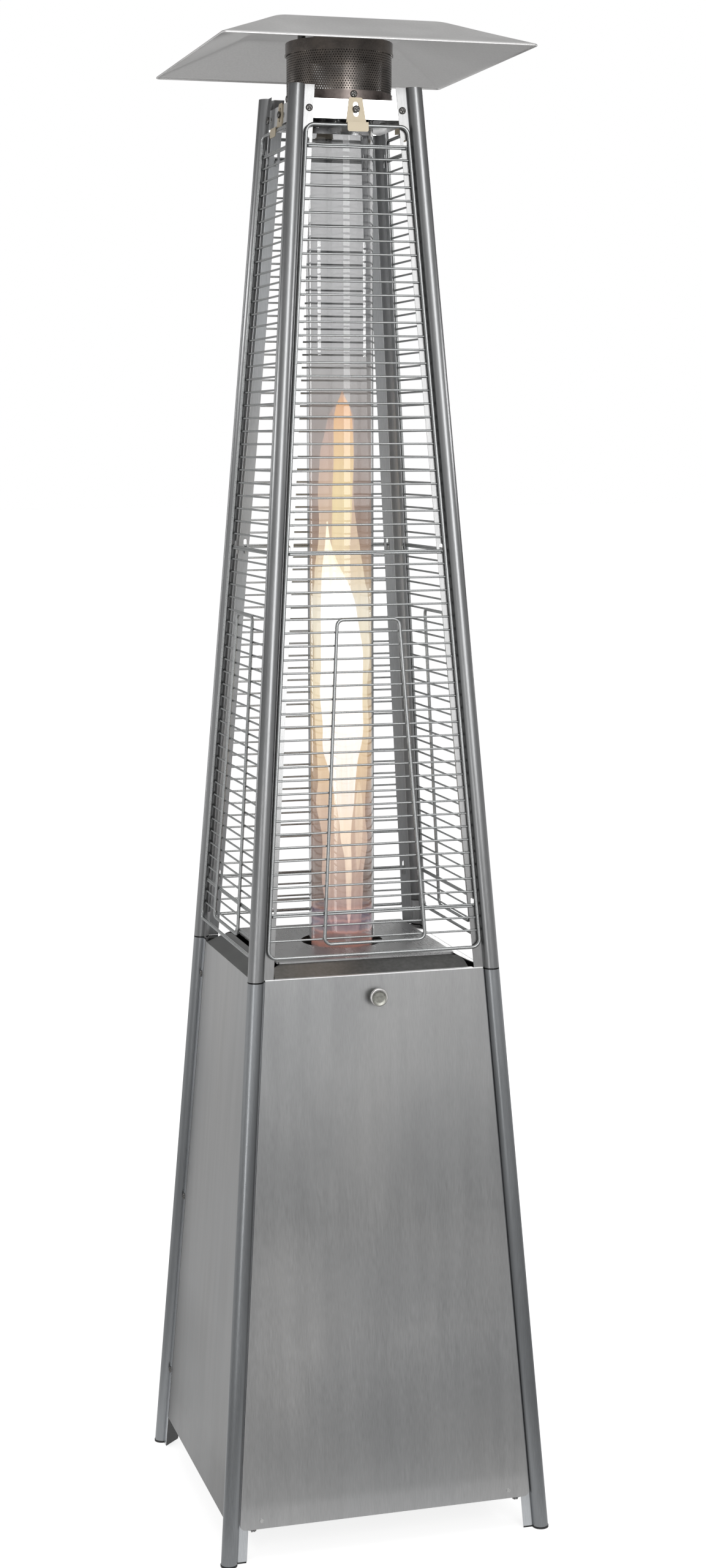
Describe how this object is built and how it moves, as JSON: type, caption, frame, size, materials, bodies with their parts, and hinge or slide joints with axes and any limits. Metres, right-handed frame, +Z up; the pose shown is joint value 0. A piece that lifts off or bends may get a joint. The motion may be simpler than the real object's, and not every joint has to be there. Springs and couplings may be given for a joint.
{
  "type": "outdoor heater",
  "caption": "Free-standing pyramid patio heater: a glass flame tube behind wire guards over a lower cabinet with a tilting door, a flame screen and a square reflector.",
  "frame": {"origin": "on the floor under the middle of the four feet", "axes": "+Z is up along the glass tube, the door faces -Y, +X is to the right seen from the door"},
  "size_m": [0.5132, 0.5132, 2.248],
  "materials": {
    "post_steel": "brushed",
    "panel_steel": "brushed",
    "satin_steel": "satin",
    "deck_steel": "polished",
    "frame_steel": "satin",
    "fastener_steel": "satin",
    "screen_steel": "heat-darkened",
    "reflector_sheet": "satin",
    "guard_wire": "polished",
    "tube_glass": "clear",
    "seal": "matte",
    "brass": "satin",
    "ceramic": "glazed",
    "magnet": "matte",
    "black_plastic": "matte"
  },
  "bodies": {
    "root": {"base_plate": "frame_steel", "burner_deck": "deck_steel", "burner_head": "frame_steel", "burner_pan": "frame_steel", "control_box": "frame_steel", "deck_frame": "frame_steel", "door_hinge_brackets": "panel_steel", "door_hinge_pins": "fastener_steel", "door_magnets": "magnet", "flame_screen": "screen_steel", "foot_front_left": "black_plastic", "foot_front_right": "black_plastic", "foot_rear_left": "black_plastic", "foot_rear_right": "black_plastic", "gas_inlet": "brass", "gas_orifice": "brass", "gas_pipe": "brass", "gas_valve": "brass", "glass_carrier": "frame_steel", "glass_collar": "frame_steel", "glass_seat_ring": "seal", "glass_tube": "tube_glass", "guard_clips": "deck_steel", "guard_front": "guard_wire", "guard_left": "guard_wire", "guard_rear": "guard_wire", "guard_right": "guard_wire", "igniter_body": "black_plastic", "ignition_electrode": "ceramic", "left_panel": "panel_steel", "leg_post_front_left": "post_steel", "leg_post_front_right": "post_steel", "leg_post_rear_left": "post_steel", "leg_post_rear_right": "post_steel", "pan_screws": "fastener_steel", "post_splices": "post_steel", "rear_panel": "panel_steel", "reflector": "reflector_sheet", "reflector_nuts": "fastener_steel", "reflector_studs": "fastener_steel", "right_panel": "panel_steel", "screen_band": "satin_steel", "screen_cap": "screen_steel", "thermocouple": "ceramic", "tilt_switch": "black_plastic", "top_frame": "deck_steel", "upper_post_front_left": "post_steel", "upper_post_front_right": "post_steel", "upper_post_rear_left": "post_steel", "upper_post_rear_right": "post_steel", "venturi_tube": "frame_steel"},
    "door": {"door_panel": "panel_steel", "door_knob": "satin_steel", "door_knob_screw": "fastener_steel", "door_hinge_ears": "panel_steel", "door_ear_rivets": "fastener_steel"},
    "spindle_guide": {"spindle_guide": "brass"},
    "control_knob": {"valve_spindle": "fastener_steel", "control_knob": "black_plastic"},
    "igniter_button": {"igniter_button": "black_plastic"}
  },
  "joints": [
    {"name": "door_hinge", "type": "hinge", "parent": "root", "child": "door", "pos_m": [0, -0.23713, 0.04916], "axis": [1, 0, 0], "range_deg": [0, 40]},
    {"name": "knob_push", "type": "slide", "parent": "root", "child": "spindle_guide", "axis": [0, 1, 0], "range_m": [0, 0.004], "stiffness_N_per_m": 500},
    {"name": "knob_turn", "type": "hinge", "parent": "spindle_guide", "child": "control_knob", "pos_m": [-0.05, -0.15, 0.795], "axis": [0, -1, 0], "range_deg": [0, 180]},
    {"name": "igniter_press", "type": "slide", "parent": "root", "child": "igniter_button", "axis": [0, 1, 0], "range_m": [0, 0.005], "stiffness_N_per_m": 500}
  ]
}
